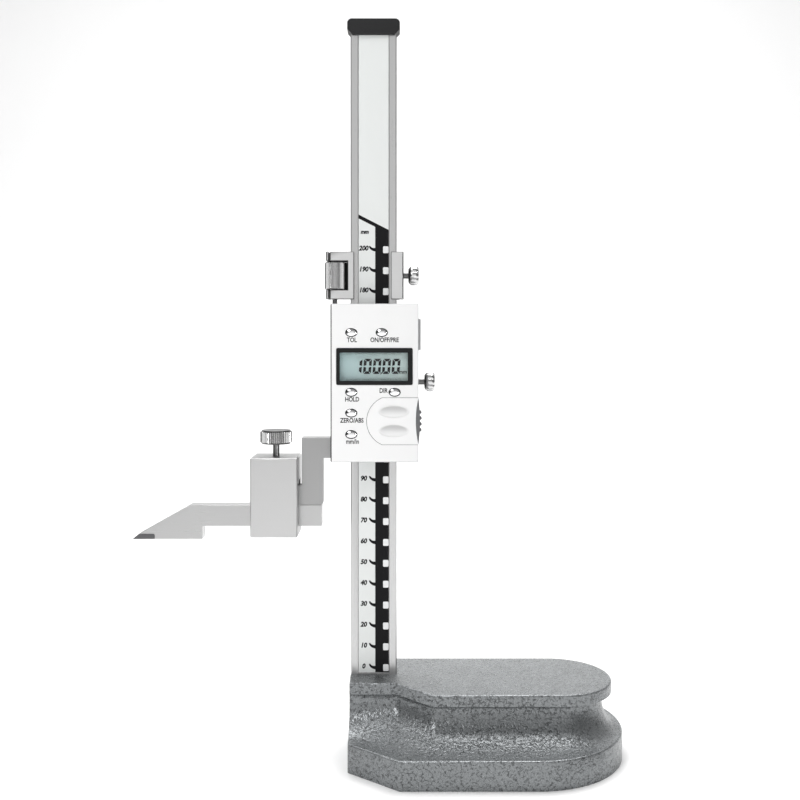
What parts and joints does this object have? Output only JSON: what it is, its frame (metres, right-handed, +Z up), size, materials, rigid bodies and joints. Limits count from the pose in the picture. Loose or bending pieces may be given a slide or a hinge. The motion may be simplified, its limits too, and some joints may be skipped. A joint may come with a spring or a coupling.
{
  "type": "digital height gauge",
  "caption": "Digital height gauge: cast base with a rounded end, upright scaled beam, sliding display head with fine adjustment, and a box-clamped scriber.",
  "frame": {"origin": "on the ground underside of the base, under the middle of the beam's width and on the base's centre plane", "axes": "+Z up along the beam; +X from the beam to the base's rounded end, so the scriber points along -X; the face of the gauge looks along -Y"},
  "size_m": [0.2323, 0.089, 0.3479],
  "materials": {
    "base_paint": "grey hammered enamel on cast iron, bare ground underside",
    "satin_steel": "ground and satin chromed steel",
    "scale_print": "printed scale: pale ground, black band and figures",
    "black_plastic": "fine matt black plastic",
    "screw_steel": "plain steel screws and studs",
    "knob_chrome": "bright chromed and knurled",
    "nut_steel": "straight-knurled steel",
    "bronze": "plain bronze gib",
    "cover_silver": "satin pale silver plastic",
    "bezel_black": "glossy black surround",
    "clear_window": "clear flat window",
    "lcd_grey": "grey-green liquid crystal panel with dark digits",
    "zebra_rubber": "layered contact rubber",
    "board_green": "green solder mask with pale tracks",
    "switch_black": "small key switches",
    "cell_steel": "nickelled steel can",
    "contact_brass": "sprung contact strip",
    "button_silver": "domed silver keys",
    "ground_steel": "ground hardened steel",
    "carbide": "dark sintered carbide, ground"
  },
  "bodies": {
    "stand": {"base_casting": "base_paint", "beam": "satin_steel", "scale_strip": "scale_print", "beam_cap": "black_plastic", "beam_bolts": "screw_steel"},
    "carriage": {"carriage": "satin_steel", "carriage_gib": "bronze"},
    "carriage_lock": {"carriage_lock_knob": "knob_chrome", "carriage_lock_stud": "screw_steel"},
    "fine_nut": {"fine_adjust_nut": "nut_steel"},
    "head": {"slider_frame": "satin_steel", "slider_gib": "bronze", "gib_screws": "screw_steel", "keeper_plate": "satin_steel", "keeper_screws": "screw_steel", "fine_adjust_rod": "screw_steel", "head_housing": "cover_silver", "housing_screws": "screw_steel", "display_bezel": "bezel_black", "display_window": "clear_window", "lcd_panel": "lcd_grey", "zebra_strips": "zebra_rubber", "circuit_board": "board_green", "position_sensor": "board_green", "tact_switches": "switch_black", "button_cell": "cell_steel", "cell_tray": "black_plastic", "cell_contact": "contact_brass"},
    "head_lock": {"head_lock_knob": "knob_chrome", "head_lock_stud": "screw_steel"},
    "battery_cover": {"battery_cover": "cover_silver"},
    "port_cover": {"port_cover": "cover_silver"},
    "clamp": {"clamp_box": "satin_steel"},
    "clamp_screw": {"clamp_knob": "knob_chrome", "clamp_stud": "screw_steel"},
    "scriber": {"scriber_bar": "ground_steel", "carbide_tip": "carbide"},
    "tolerance_key": {"button_tolerance": "button_silver"},
    "on_off_key": {"button_on_off": "button_silver"},
    "hold_key": {"button_hold": "button_silver"},
    "direction_key": {"button_direction": "button_silver"},
    "zero_key": {"button_zero": "button_silver"},
    "unit_key": {"button_unit": "button_silver"}
  },
  "joints": [
    {"name": "carriage_slide", "type": "slide", "parent": "stand", "child": "carriage", "axis": [0, 0, 1], "range_m": [-0.096, 0.1]},
    {"name": "fine_nut_turn", "type": "hinge", "parent": "carriage", "child": "fine_nut", "pos_m": [-0.0187, 0.0053, 0.2256], "axis": [0, 0, 1], "range_deg": [-1476, 2916]},
    {"name": "fine_adjust", "type": "slide", "parent": "carriage", "child": "head", "axis": [0, 0, 1], "range_m": [-0.004, 0.002]},
    {"name": "carriage_lock_turn", "type": "hinge", "parent": "carriage", "child": "carriage_lock", "pos_m": [0.02, 0.0053, 0.2257], "axis": [1, 0, 0], "range_deg": [0, 720]},
    {"name": "head_lock_turn", "type": "hinge", "parent": "head", "child": "head_lock", "pos_m": [0.03, 0.0053, 0.1748], "axis": [1, 0, 0], "range_deg": [0, 720]},
    {"name": "battery_cover_slide", "type": "slide", "parent": "head", "child": "battery_cover", "axis": [1, 0, 0], "range_m": [0, 0.02]},
    {"name": "port_cover_slide", "type": "slide", "parent": "head", "child": "port_cover", "axis": [1, 0, 0], "range_m": [0, 0.008]},
    {"name": "clamp_slide", "type": "slide", "parent": "head", "child": "clamp", "axis": [1, 0, 0], "range_m": [-0.008, 0.0012]},
    {"name": "scriber_slide", "type": "slide", "parent": "clamp", "child": "scriber", "axis": [1, 0, 0], "range_m": [-0.012, 0.011]},
    {"name": "clamp_screw_turn", "type": "hinge", "parent": "clamp", "child": "clamp_screw", "pos_m": [-0.04685, 0.00455, 0.15], "axis": [0, 0, 1], "range_deg": [0, 1080]},
    {"name": "tolerance_press", "type": "slide", "parent": "head", "child": "tolerance_key", "axis": [0, 1, 0], "range_m": [0, 0.0006], "stiffness_N_per_m": 1500, "springref_m": -0.0004},
    {"name": "on_off_press", "type": "slide", "parent": "head", "child": "on_off_key", "axis": [0, 1, 0], "range_m": [0, 0.0006], "stiffness_N_per_m": 1500, "springref_m": -0.0004},
    {"name": "hold_press", "type": "slide", "parent": "head", "child": "hold_key", "axis": [0, 1, 0], "range_m": [0, 0.0006], "stiffness_N_per_m": 1500, "springref_m": -0.0004},
    {"name": "direction_press", "type": "slide", "parent": "head", "child": "direction_key", "axis": [0, 1, 0], "range_m": [0, 0.0006], "stiffness_N_per_m": 1500, "springref_m": -0.0004},
    {"name": "zero_press", "type": "slide", "parent": "head", "child": "zero_key", "axis": [0, 1, 0], "range_m": [0, 0.0006], "stiffness_N_per_m": 1500, "springref_m": -0.0004},
    {"name": "unit_press", "type": "slide", "parent": "head", "child": "unit_key", "axis": [0, 1, 0], "range_m": [0, 0.0006], "stiffness_N_per_m": 1500, "springref_m": -0.0004}
  ],
  "couplings": [
    {"joint": "fine_nut_turn", "follows": "fine_adjust", "rad_per_m": -12566}
  ]
}
